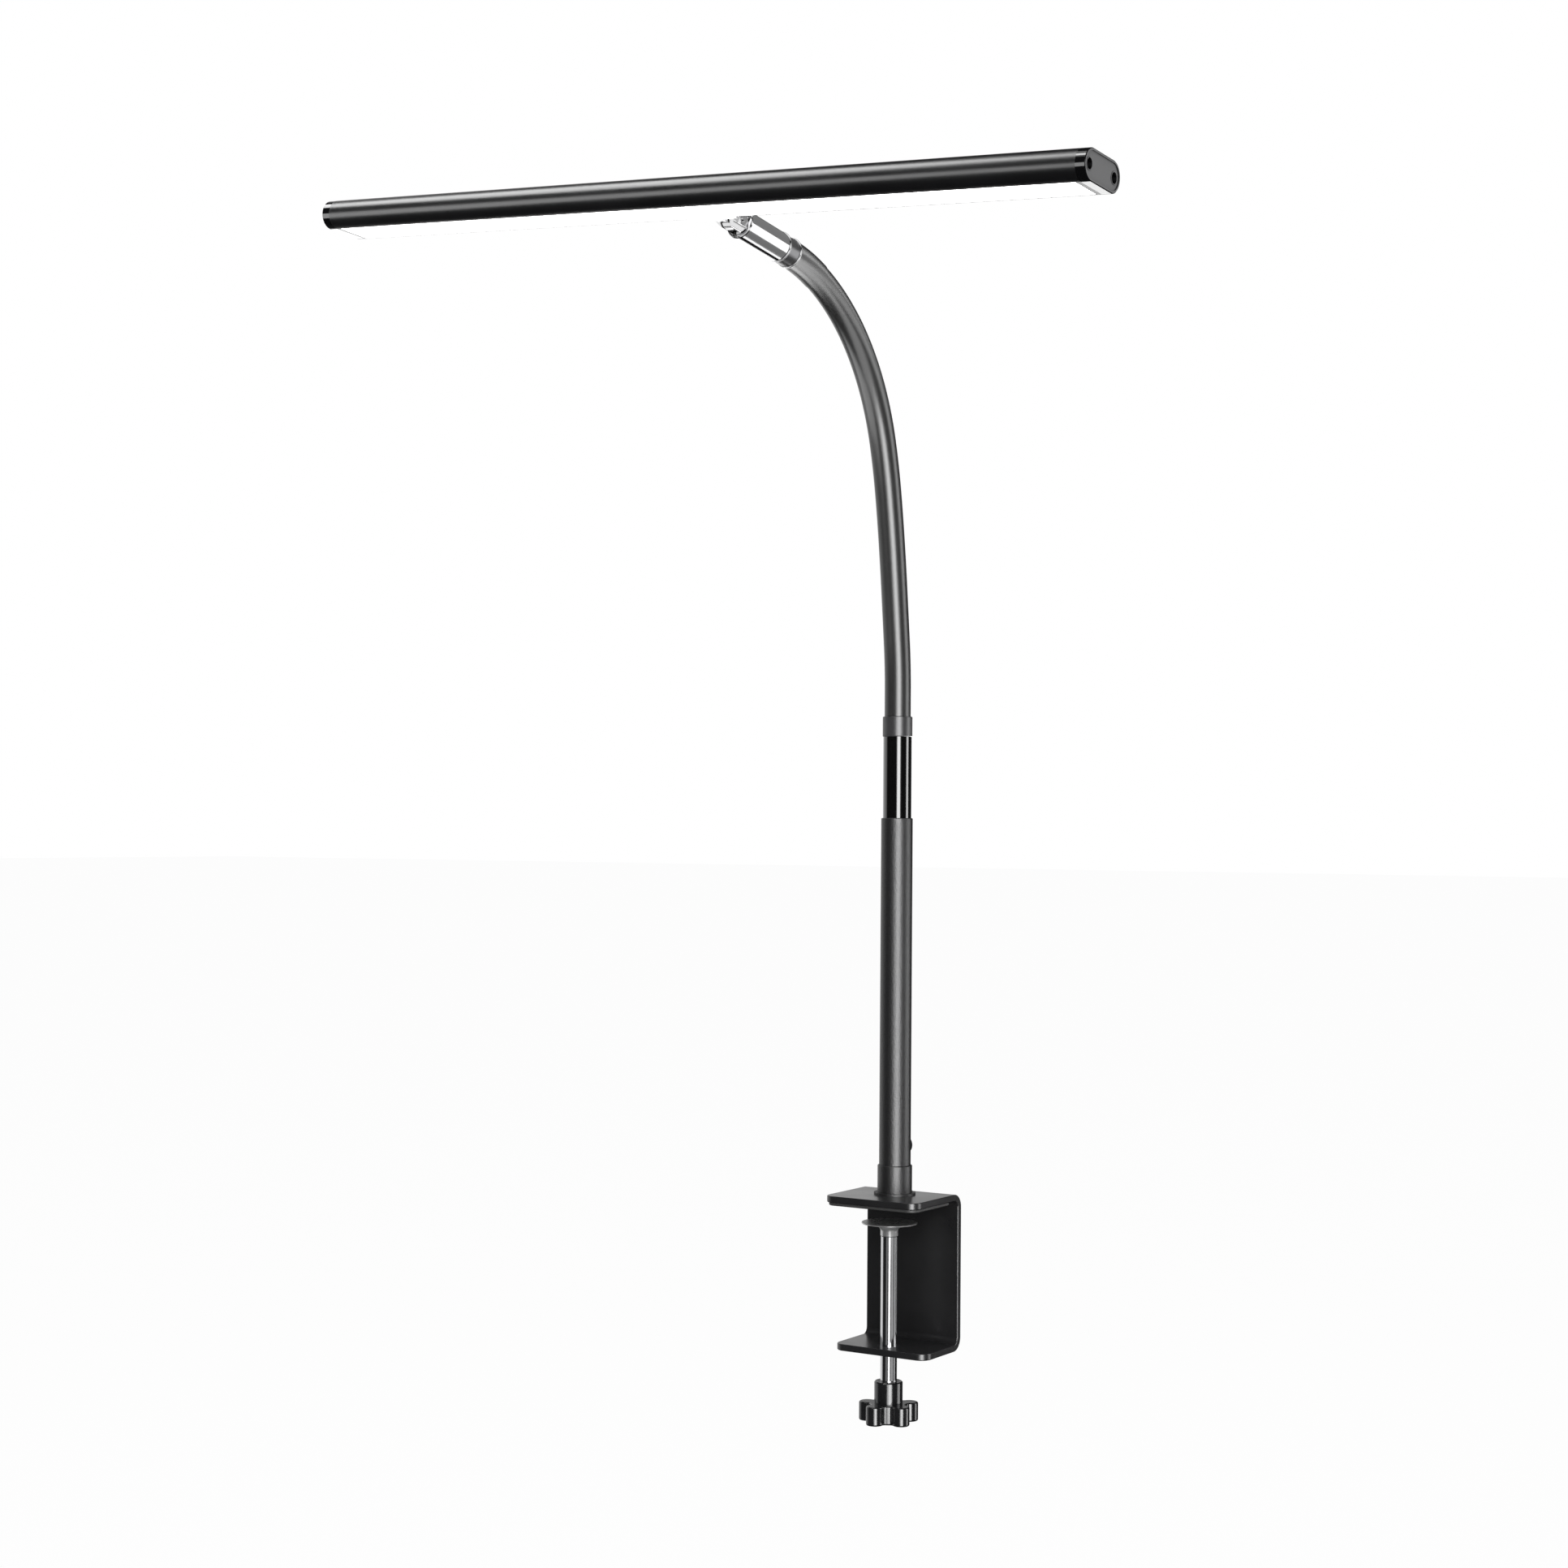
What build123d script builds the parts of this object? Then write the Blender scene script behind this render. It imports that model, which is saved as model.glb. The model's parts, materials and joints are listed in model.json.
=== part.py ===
from build123d import *
from math import sqrt
import os

os.makedirs("parts", exist_ok=True)

# A piano lamp on a desk clamp. All sizes are in millimetres.
# +X runs along the light bar, +Y points away from the player, +Z is up.
# The origin is on the pole's axis, in the plane of the desk top that the clamp sits on.

# ---------------------------------------------------------------- driving dimensions
# Clamp
desk_pad_thickness = 1.8        # rubber sheet between the top jaw and the desk
desk_pad_inset = 1.2            # inside the edges of the top jaw
sheet = 4.0                     # steel sheet of the bracket
clamp_width = 63.6              # along X
clamp_height = 94.0             # top face of the top jaw to underside of the bottom jaw
top_jaw_reach = 30.8            # front edge of the top jaw, in front of the pole's axis
bottom_jaw_reach = 18.0         # front edge of the bottom jaw, in front of the pole's axis
spine_back = 25.4               # outer face of the spine, behind the pole's axis
bend_radius = 8.0               # outer radius of the two bends
jaw_corner_radius = 7.0         # front corners of the jaws, seen from above
sheet_edge_radius = 0.6         # broken edges of the sheet

# Clamp screw
rod_diameter = 10.0             # M10 rod
rod_setback = -6.0              # the screw stands this far along Y from the pole's axis
rod_tip_diameter = 6.0
rod_tip_length = 5.5
bush_wall = 2.0                 # of the threaded bush in the bottom jaw
cup_gap = 10.3                  # desk plane down to the cup's face, as the clamp stands
cup_diameter = 33.5
cup_rim_thickness = 0.9
cup_depth = 8.0                 # top face to the lower end of its hub
cup_hub_diameter = 12.4
cup_flare = 1.6                 # how hollow the flare under the rim is
knob_hub_wall = 2.0             # around the threaded insert
knob_hub_height = 13.0
knob_star_height = 11.2
knob_lobes = 5
knob_lobe_radius = 5.2
knob_lobe_circle = 13.2         # radius on which the lobes stand
knob_web_radius = 11.6
knob_turn = 46.5                # where the first lobe points, in degrees from +X
knob_to_jaw = 16.8              # hub's top face to the underside of the bottom jaw
insert_wall = 1.5
insert_length = 18.0

# Pole and the stem that slides and turns in it
pole_diameter = 19.0
pole_wall = 0.9
pole_height = 225.8             # above the top jaw
foot_ring_diameter = 25.0
foot_ring_thickness = 1.2
base_collar_diameter = 20.8
base_collar_height = 16.4
plug_length = 18.0
pole_screw_diameter = 6.0
pole_screw_head = 11.6
pole_screw_length = 17.0
stem_wall = 1.0
stem_exposed = 48.9             # polished length between the pole and the neck collar
stem_hidden = 121.0             # length inside the pole
stem_bush_flange = 5.0
stem_bush_spigot = 8.0
neck_collar_diameter = 17.9
neck_collar_height = 12.2
neck_collar_spigot = 12.0

# Power inlet in the back of the pole
jack_height = 28.6              # above the top jaw
jack_body_diameter = 8.0
jack_body_length = 11.0
jack_flange_diameter = 11.5
jack_flange_thickness = 1.8
jack_bore_diameter = 5.6
jack_bore_depth = 8.5
jack_pin_diameter = 2.0
jack_pin_length = 7.0
lead_diameter = 3.0

# Gooseneck: straight links between in-plane bends, measured bend by bend at rest
neck_diameter = 15.8
neck_bore = 10.0
core_bore = 6.0
link_length = 30.0
rest_bends = [6.0, 0.2, 1.5, 2.4, 6.0, 12.4, 13.4, 13.6, 13.3, 13.4]
socket_margin = 0.7             # the balls at a link's ends are this much larger than the sleeve
ball_gap = 0.3                  # play between a link's rounded end and the next link
core_lift = 0.2                 # a core begins this far above the ball below it
core_overrun = 2.0              # and ends this far above the bend over it
core_anchor = 9.0               # length of the first core inside the neck collar
end_sleeve_diameter = 16.4
ferrule_diameter = 16.4
ferrule_length = 12.9

# Head joint
joint_diameter = 17.0
joint_length = 38.7
joint_wall = 1.2
joint_base = 4.0                # solid base wall that turns on the spindle
spindle_diameter = 9.0
spindle_bore = 5.0
spindle_length = 11.0           # past the ferrule
spindle_root = 5.6              # collar of the spindle below the ferrule
swivel_nut_room = 0.8           # round the nut inside the cylinder
swivel_nut_height = 5.0
swivel_gap = 0.8                # friction washer's room between base wall and nut
fork_plug_length = 10.0
fork_recess = 1.0               # the plug's face lies this far inside the rim
pivot_distance = 8.0            # rim of the cylinder to the pivot
knuckle_gap = 0.6               # between the fork and the cylinder's rim
ear_thickness = 2.9
slot_relief = 0.6               # floor of the fork's slot clears the tongue by this much
tongue_thickness = 5.0
tongue_radius = 6.0
washer_thickness = 0.5
washer_diameter = 9.0
pivot_diameter = 4.0
pivot_head_diameter = 7.0
pivot_head_height = 1.6
pivot_nut_width = 7.0           # across flats
pivot_nut_height = 2.2
pivot_end = 0.6                 # thread past the nut
rest_swivel = -4.25             # the cylinder's turn on the neck, in degrees
rest_pitch = 5.0                # the bar's turn on the pivot, in degrees

# Light bar
bar_depth = 38.2                # along Y
bar_height = 16.2
housing_length = 479.0
bar_wall = 1.5
cap_length = 5.5
cap_rim = 1.3                   # raised rim round the dished face
cap_dish = 0.7
cap_tongue_length = 3.0
cap_tongue_gap = 1.7            # between the cap's tongue and each screw boss
cap_tongue_height = 5.0
arm_reach = 23.2                # pivot to the back of the bar
bar_rise = 0.35                 # middle of the bar above the pivot
window_margin = 3.0             # end of the diffuser's window to the end of the housing
diffuser_play = 0.1
diffuser_body = 3.1             # height of the diffuser from the bar's flat underside
diffuser_flange = 1.9           # how far it reaches behind the housing, each side
diffuser_flange_thickness = 1.2
screw_inset = 5.7               # end cap screws, from the sides of the bar
boss_diameter = 5.4
cap_screw_diameter = 2.6
cap_screw_grip = 8.0            # thread inside the housing
cap_screw_head_diameter = 4.8
cap_screw_head_height = 1.8
cap_screw_recess_diameter = 5.6
cap_screw_recess = 3.2
saddle_length = 31.2
saddle_depth = 8.0              # behind the back of the bar
saddle_height = 10.0
saddle_rounding = 1.0
arm_height = 7.4
saddle_screw_spacing = 20.0
saddle_screw_diameter = 3.0
saddle_screw_grip = 4.0
saddle_screw_head_diameter = 5.5
saddle_screw_head_height = 2.4
saddle_screw_sink = 3.0
screw_head_play = 0.3
driver_board_length = 36.0
board_gap = 6.0                 # between the driver board and the LED board
board_side_gap = 2.45           # edge of a board to the edge of the flat top
board_thickness = 1.0
board_end_gap = 6.0             # housing's end to the nearest board
led_rows = 2
led_pitch = 15.5
led_length = 3.5
led_width = 2.8
led_height = 0.8
wire_diameter = 1.2

# Fits
running_fit = 0.05              # radial play of a turning or sliding fit
end_play = 0.1                  # axial play beside a turning piece
edge_break = 0.4                # small chamfer on turned pieces

# ---------------------------------------------------------------- places worked out
jaw_top = desk_pad_thickness + sheet
jaw_bottom = jaw_top - clamp_height
spine_front = spine_back - sheet
pole_bore = pole_diameter - 2 * pole_wall
stem_diameter = pole_bore - 2 * running_fit
pole_top = jaw_top + pole_height
stem_bore = stem_diameter - 2 * stem_wall
stem_top = pole_top + stem_exposed
stem_bottom = pole_top - stem_hidden
neck_base = stem_top + neck_collar_height
ball_radius = neck_diameter / 2 + socket_margin
core_start = ball_radius - ball_gap + core_lift
end_sleeve_length = ball_radius - ball_gap + spindle_root + end_play
bush_diameter = rod_diameter + 2 * bush_wall
insert_diameter = rod_diameter + 2 * insert_wall
knob_hub_diameter = insert_diameter + 2 * knob_hub_wall
joint_bore = joint_diameter - 2 * joint_wall
knuckle_diameter = joint_bore - 2 * knuckle_gap
swivel_nut_diameter = joint_bore - 2 * swivel_nut_room
fork_gap = tongue_thickness + 2 * washer_thickness + 2 * end_play
fork_width = fork_gap + 2 * ear_thickness
flat_width = bar_depth - bar_height
bar_setback = bar_depth / 2 + arm_reach
screw_spacing = bar_depth - 2 * screw_inset
cap_tongue_width = screw_spacing - boss_diameter - 2 * cap_tongue_gap
board_width = flat_width - 2 * board_side_gap



def turned_in_place(plane, around_x, around_z):
    """The same plane turned about its own X or Z, in degrees."""
    return Plane(plane.location * Rotation(around_x, 0, around_z))


# Every bend has a plane: its origin is the bend's centre, its X the hinge axis,
# and its Z points along the link above it.
bend_planes = []
link_plane = Plane.XY.offset(neck_base)
for bend in rest_bends:
    link_plane = turned_in_place(link_plane.offset(link_length), bend, 0)
    bend_planes.append(link_plane)
neck_end = bend_planes[-1]
ferrule_plane = neck_end.offset(end_sleeve_length)
swivel_plane = turned_in_place(ferrule_plane.offset(ferrule_length), 0, rest_swivel)
rim_plane = swivel_plane.offset(joint_length)
pivot_plane = rim_plane.offset(pivot_distance)

# The head's plane lies on the pivot: X along the bar, Z out of the top of the bar.
level_head = Plane(
    origin=pivot_plane.origin, x_dir=pivot_plane.x_dir, z_dir=pivot_plane.y_dir
)
head_plane = turned_in_place(level_head, rest_pitch, 0)
bar_plane = Plane(
    origin=head_plane.from_local_coords(Vector(0, -bar_setback, bar_rise)),
    x_dir=head_plane.x_dir,
    z_dir=head_plane.z_dir,
)
# The bar's section is drawn looking along the bar: X is depth, Y is up.
section_plane = Plane(origin=bar_plane.origin, x_dir=bar_plane.y_dir, z_dir=bar_plane.x_dir)


def tube(plane, outer, bore, length):
    """A plain tube standing on a plane."""
    with BuildPart() as piece:
        with BuildSketch(plane):
            Circle(outer / 2)
            Circle(bore / 2, mode=Mode.SUBTRACT)
        extrude(amount=length)
    return piece


def turned(plane, points):
    """A solid of revolution about a plane's Z, from (radius, height) corners."""
    with BuildPart() as piece:
        with BuildSketch(Plane(origin=plane.origin, x_dir=plane.x_dir, z_dir=-plane.y_dir)):
            with BuildLine():
                Polyline(*points, close=True)
            make_face()
        revolve(axis=Axis(plane.origin, plane.z_dir))
    return piece


# ---------------------------------------------------------------- clamp
with BuildPart() as clamp_bracket:
    with BuildSketch(Plane.YZ) as c_profile:
        with BuildLine():
            Polyline(
                (-top_jaw_reach, jaw_top),
                (spine_back, jaw_top),
                (spine_back, jaw_bottom),
                (-bottom_jaw_reach, jaw_bottom),
                (-bottom_jaw_reach, jaw_bottom + sheet),
                (spine_front, jaw_bottom + sheet),
                (spine_front, jaw_top - sheet),
                (-top_jaw_reach, jaw_top - sheet),
                close=True,
            )
        make_face()
        fillet(c_profile.vertices().group_by(Axis.X)[-2], bend_radius - sheet)
        fillet(c_profile.vertices().group_by(Axis.X)[-1], bend_radius)
    extrude(amount=clamp_width / 2, both=True)
    fillet(edges().filter_by(Axis.Z).sort_by(SortBy.LENGTH)[:4], jaw_corner_radius)
    # the rim of the sheet: every long edge but the ones across the bends
    bend_lines = edges().filter_by(Axis.X).filter_by_position(Axis.Y, 0, spine_back)
    rim = [edge for edge in edges() if edge.length > 1.05 * sheet and edge not in bend_lines]
    fillet(rim, sheet_edge_radius)
    # countersunk hole for the screw that holds the pole, from below
    with Locations(Plane(origin=(0, 0, jaw_top - sheet), z_dir=(0, 0, -1))):
        CounterSinkHole(pole_screw_diameter / 2, pole_screw_head / 2, depth=sheet)
    # hole for the threaded bush
    with BuildSketch(Plane.XY.offset(jaw_bottom)):
        with Locations((0, rod_setback)):
            Circle(bush_diameter / 2)
    extrude(amount=sheet, mode=Mode.SUBTRACT)
clamp_bracket.part.label = "clamp_bracket"
export_step(clamp_bracket.part, "parts/clamp_bracket.step")

with BuildPart() as desk_pad:
    pad_front = -top_jaw_reach + desk_pad_inset
    pad_back = spine_back - bend_radius - desk_pad_inset
    with BuildSketch(Plane.XY):
        with Locations((0, (pad_front + pad_back) / 2)):
            Rectangle(clamp_width - 2 * desk_pad_inset, pad_back - pad_front)
        fillet(vertices(), jaw_corner_radius - desk_pad_inset)
    extrude(amount=desk_pad_thickness)
    chamfer(edges().group_by(Axis.Z)[0], edge_break)
desk_pad.part.label = "desk_pad"
export_step(desk_pad.part, "parts/desk_pad.step")

bush_bore = rod_diameter + 2 * running_fit
thread_bush = tube(Plane(origin=(0, rod_setback, jaw_bottom)), bush_diameter, bush_bore, sheet)
thread_bush.part.label = "thread_bush"
export_step(thread_bush.part, "parts/thread_bush.step")

# ---------------------------------------------------------------- pressure cup
cup_top = -cup_gap
cup_bottom = cup_top - cup_depth
cup_tip_bore = rod_tip_diameter + 2 * running_fit
socket_end = cup_bottom + rod_tip_length
rim_point = (cup_diameter / 2, cup_top - cup_rim_thickness)
hub_point = (cup_hub_diameter / 2, cup_bottom)
with BuildPart() as pressure_cup:
    with BuildSketch(Plane(origin=(0, rod_setback, 0), x_dir=(1, 0, 0), z_dir=(0, -1, 0))):
        with BuildLine():
            Polyline((0, cup_top), (cup_diameter / 2, cup_top), rim_point)
            flare = Line(rim_point, hub_point, mode=Mode.PRIVATE)
            hollow = flare @ 0.5 + Vector(-cup_flare, cup_flare)
            ThreePointArc(rim_point, hollow, hub_point)
            Polyline(hub_point, (cup_tip_bore / 2, cup_bottom), (cup_tip_bore / 2, socket_end))
            Polyline((cup_tip_bore / 2, socket_end), (0, socket_end), (0, cup_top))
        make_face()
    revolve(axis=Axis((0, rod_setback, 0), (0, 0, 1)))
pressure_cup.part.label = "pressure_cup"
export_step(pressure_cup.part, "parts/pressure_cup.step")

# ---------------------------------------------------------------- clamp screw and knob
hub_top = jaw_bottom - knob_to_jaw
star_top = hub_top - knob_hub_height
rod_shoulder = cup_bottom - end_play
rod_bottom = hub_top - insert_length
clamp_rod = turned(
    Plane(origin=(0, rod_setback, 0)),
    [
        (0, rod_bottom),
        (rod_diameter / 2, rod_bottom),
        (rod_diameter / 2, rod_shoulder - edge_break),
        (rod_diameter / 2 - edge_break, rod_shoulder),
        (rod_tip_diameter / 2, rod_shoulder),
        (rod_tip_diameter / 2, rod_shoulder + rod_tip_length - end_play),
        (0, rod_shoulder + rod_tip_length - end_play),
    ],
)
clamp_rod.part.label = "clamp_rod"
export_step(clamp_rod.part, "parts/clamp_rod.step")

knob_insert = tube(
    Plane(origin=(0, rod_setback, rod_bottom)), insert_diameter, rod_diameter, insert_length
)
knob_insert.part.label = "knob_insert"
export_step(knob_insert.part, "parts/knob_insert.step")

with BuildPart() as star_knob:
    star_base = Plane(origin=(0, rod_setback, star_top - knob_star_height))
    star_plane = turned_in_place(star_base, 0, knob_turn)
    with BuildSketch(star_plane) as star:
        Circle(knob_web_radius)
        with PolarLocations(knob_lobe_circle, knob_lobes):
            Circle(knob_lobe_radius)
        fillet(star.vertices(), knob_lobe_radius / 3)
    extrude(amount=knob_star_height)
    fillet(edges().group_by(Axis.Z)[-1] + edges().group_by(Axis.Z)[0], 1.0)
    with BuildSketch(star_plane.offset(knob_star_height - 1)):
        Circle(knob_hub_diameter / 2)
    extrude(amount=knob_hub_height + 1)
    chamfer(edges().group_by(Axis.Z)[-1], 0.6)
    with BuildSketch(Plane(origin=(0, rod_setback, hub_top))):
        Circle(insert_diameter / 2)
    extrude(amount=-insert_length, mode=Mode.SUBTRACT)
star_knob.part.label = "star_knob"
export_step(star_knob.part, "parts/star_knob.step")

# ---------------------------------------------------------------- pole
jaw_plane = Plane.XY.offset(jaw_top)
foot_ring = tube(jaw_plane, foot_ring_diameter, pole_diameter, foot_ring_thickness)
foot_ring.part.label = "foot_ring"
export_step(foot_ring.part, "parts/foot_ring.step")

with BuildPart() as base_collar:
    with BuildSketch(jaw_plane.offset(foot_ring_thickness)):
        Circle(base_collar_diameter / 2)
        Circle(pole_diameter / 2, mode=Mode.SUBTRACT)
    extrude(amount=base_collar_height)
    chamfer(edges().group_by(Axis.Z)[-1].sort_by(SortBy.RADIUS)[-1], edge_break)
base_collar.part.label = "base_collar"
export_step(base_collar.part, "parts/base_collar.step")

# the inlet's axis points out of the back of the pole
jack_plane = Plane(origin=(0, 0, jaw_top + jack_height), x_dir=(1, 0, 0), z_dir=(0, 1, 0))
with BuildPart() as pole_tube:
    with BuildSketch(jaw_plane):
        Circle(pole_diameter / 2)
        Circle(pole_bore / 2, mode=Mode.SUBTRACT)
    extrude(amount=pole_height)
    chamfer(edges().group_by(Axis.Z)[-1].sort_by(SortBy.RADIUS)[-1], edge_break)
    with BuildSketch(jack_plane):
        Circle(jack_body_diameter / 2)
    extrude(amount=pole_diameter, mode=Mode.SUBTRACT)
pole_tube.part.label = "pole_tube"
export_step(pole_tube.part, "parts/pole_tube.step")

with BuildPart() as pole_plug:
    with BuildSketch(jaw_plane):
        Circle(pole_bore / 2)
        Circle(pole_screw_diameter / 2, mode=Mode.SUBTRACT)
    extrude(amount=plug_length)
pole_plug.part.label = "pole_plug"
export_step(pole_plug.part, "parts/pole_plug.step")

screw_cone_height = (pole_screw_head - pole_screw_diameter) / 2
pole_screw = turned(
    Plane.XY.offset(jaw_top - sheet),
    [
        (0, 0),
        (pole_screw_head / 2, 0),
        (pole_screw_diameter / 2, screw_cone_height),
        (pole_screw_diameter / 2, pole_screw_length),
        (0, pole_screw_length),
    ],
)
pole_screw.part.label = "pole_screw"
export_step(pole_screw.part, "parts/pole_screw.step")

with BuildPart() as power_jack:
    flange_face = pole_diameter / 2 + jack_flange_thickness
    with BuildSketch(jack_plane.offset(flange_face)):
        Circle(jack_flange_diameter / 2)
    extrude(amount=-(jack_flange_thickness + 1.5))
    with BuildSketch(jaw_plane):
        Circle(pole_diameter / 2)
    extrude(amount=pole_height, mode=Mode.SUBTRACT)
    with BuildSketch(jack_plane.offset(flange_face)):
        Circle(jack_body_diameter / 2)
    extrude(amount=-(jack_body_length + jack_flange_thickness))
    with BuildSketch(jack_plane.offset(flange_face)):
        Circle(jack_bore_diameter / 2)
    extrude(amount=-jack_bore_depth, mode=Mode.SUBTRACT)
    chamfer(faces().sort_by(Axis.Y)[-1].edges(), 0.3)
power_jack.part.label = "power_jack"
export_step(power_jack.part, "parts/power_jack.step")

with BuildPart() as jack_pin:
    with BuildSketch(jack_plane.offset(flange_face - jack_bore_depth)):
        Circle(jack_pin_diameter / 2)
    extrude(amount=jack_pin_length)
    chamfer(faces().sort_by(Axis.Y)[-1].edges(), edge_break)
jack_pin.part.label = "jack_pin"
export_step(jack_pin.part, "parts/jack_pin.step")

# ---------------------------------------------------------------- sliding, turning stem
bush_spigot_diameter = stem_bore - 2 * running_fit
bush_base = stem_bottom - end_play - stem_bush_flange
stem_bush = turned(
    Plane.XY.offset(bush_base),
    [
        (neck_bore / 2, 0),
        (pole_bore / 2 - running_fit, 0),
        (pole_bore / 2 - running_fit, stem_bush_flange),
        (bush_spigot_diameter / 2, stem_bush_flange),
        (bush_spigot_diameter / 2, stem_bush_flange + stem_bush_spigot),
        (neck_bore / 2, stem_bush_flange + stem_bush_spigot),
    ],
)
stem_bush.part.label = "stem_bush"
export_step(stem_bush.part, "parts/stem_bush.step")

stem_tube = tube(
    Plane.XY.offset(stem_bottom), stem_diameter, stem_bore, stem_top - stem_bottom
)
stem_tube.part.label = "stem_tube"
export_step(stem_tube.part, "parts/stem_tube.step")

neck_collar = turned(
    Plane.XY.offset(stem_top),
    [
        (neck_bore / 2, -neck_collar_spigot),
        (stem_bore / 2, -neck_collar_spigot),
        (stem_bore / 2, 0),
        (neck_collar_diameter / 2 - edge_break, 0),
        (neck_collar_diameter / 2, edge_break),
        (neck_collar_diameter / 2, neck_collar_height - edge_break),
        (neck_collar_diameter / 2 - edge_break, neck_collar_height),
        (neck_bore / 2, neck_collar_height),
    ],
)
neck_collar.part.label = "neck_collar"
export_step(neck_collar.part, "parts/neck_collar.step")

# ---------------------------------------------------------------- gooseneck
sleeve_radius = neck_diameter / 2
bore_radius = neck_bore / 2
socket_radius = ball_radius
ball_end_radius = ball_radius - ball_gap


def ball_height(radius, at):
    """Height of a ball's surface above its centre, at a distance from the axis."""
    return sqrt(radius**2 - at**2)


def link_sleeve(plane, outer, foot, length, ball):
    """One link's sleeve on its bend plane: a socket or a flat foot, a ball end or a flat end."""
    middle = (outer + bore_radius) / 2
    foot_outer = ball_height(socket_radius, outer) if foot == "socket" else 0
    foot_inner = ball_height(socket_radius, bore_radius) if foot == "socket" else 0
    end_outer = length + ball_height(ball_end_radius, outer) if ball else length
    end_inner = length + ball_height(ball_end_radius, bore_radius) if ball else length
    with BuildPart() as piece:
        with BuildSketch(Plane(origin=plane.origin, x_dir=plane.x_dir, z_dir=-plane.y_dir)):
            with BuildLine():
                if foot == "socket":
                    foot_middle = (middle, ball_height(socket_radius, middle))
                    ThreePointArc((bore_radius, foot_inner), foot_middle, (outer, foot_outer))
                else:
                    Line((bore_radius, 0), (outer, 0))
                Line((outer, foot_outer), (outer, end_outer))
                if ball:
                    end_middle = (middle, length + ball_height(ball_end_radius, middle))
                    ThreePointArc((outer, end_outer), end_middle, (bore_radius, end_inner))
                else:
                    Line((outer, length), (bore_radius, length))
                Line((bore_radius, end_inner), (bore_radius, foot_inner))
            make_face()
        revolve(axis=Axis(plane.origin, plane.z_dir))
    return piece


link_bases = [Plane.XY.offset(neck_base)] + bend_planes[:-1]
for number, base in enumerate(link_bases):
    foot = "socket" if number > 0 else "flat"
    neck_sleeve = link_sleeve(base, sleeve_radius, foot, link_length, True)
    neck_sleeve.part.label = f"neck_sleeve_{number}"
    export_step(neck_sleeve.part, f"parts/neck_sleeve_{number}.step")

    core_foot = core_start if number > 0 else -core_anchor
    neck_core = tube(
        base.offset(core_foot), neck_bore, core_bore, link_length + core_overrun - core_foot
    )
    neck_core.part.label = f"neck_core_{number}"
    export_step(neck_core.part, f"parts/neck_core_{number}.step")

neck_end_sleeve = link_sleeve(neck_end, end_sleeve_diameter / 2, "socket", end_sleeve_length, False)
neck_end_sleeve.part.label = "neck_end_sleeve"
export_step(neck_end_sleeve.part, "parts/neck_end_sleeve.step")

# ---------------------------------------------------------------- swivel under the head
ferrule_band = turned(
    ferrule_plane,
    [
        (spindle_diameter / 2, 0),
        (ferrule_diameter / 2 - edge_break, 0),
        (ferrule_diameter / 2, edge_break),
        (ferrule_diameter / 2, ferrule_length - edge_break),
        (ferrule_diameter / 2 - edge_break, ferrule_length),
        (spindle_diameter / 2, ferrule_length),
    ],
)
ferrule_band.part.label = "ferrule_band"
export_step(ferrule_band.part, "parts/ferrule_band.step")

swivel_spindle = turned(
    ferrule_plane,
    [
        (spindle_bore / 2, -spindle_root),
        (neck_bore / 2, -spindle_root),
        (neck_bore / 2, 0),
        (spindle_diameter / 2, 0),
        (spindle_diameter / 2, ferrule_length + spindle_length),
        (spindle_bore / 2, ferrule_length + spindle_length),
    ],
)
swivel_spindle.part.label = "swivel_spindle"
export_step(swivel_spindle.part, "parts/swivel_spindle.step")

base_height = end_play + joint_base
joint_cylinder = turned(
    swivel_plane,
    [
        (spindle_diameter / 2 + running_fit, end_play),
        (joint_diameter / 2 - edge_break, end_play),
        (joint_diameter / 2, end_play + edge_break),
        (joint_diameter / 2, joint_length - edge_break),
        (joint_diameter / 2 - edge_break, joint_length),
        (joint_bore / 2, joint_length),
        (joint_bore / 2, base_height),
        (spindle_diameter / 2 + running_fit, base_height),
    ],
)
joint_cylinder.part.label = "joint_cylinder"
export_step(joint_cylinder.part, "parts/joint_cylinder.step")

with BuildPart() as swivel_nut:
    with BuildSketch(swivel_plane.offset(base_height + swivel_gap)):
        RegularPolygon(swivel_nut_diameter / 2, 6)
        Circle(spindle_diameter / 2, mode=Mode.SUBTRACT)
    extrude(amount=swivel_nut_height)
swivel_nut.part.label = "swivel_nut"
export_step(swivel_nut.part, "parts/swivel_nut.step")

# the washer lies on the base wall and turns with the cylinder
swivel_washer = tube(
    swivel_plane.offset(base_height), swivel_nut_diameter, spindle_diameter + 0.6, swivel_gap - end_play
)
swivel_washer.part.label = "swivel_washer"
export_step(swivel_washer.part, "parts/swivel_washer.step")

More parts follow.
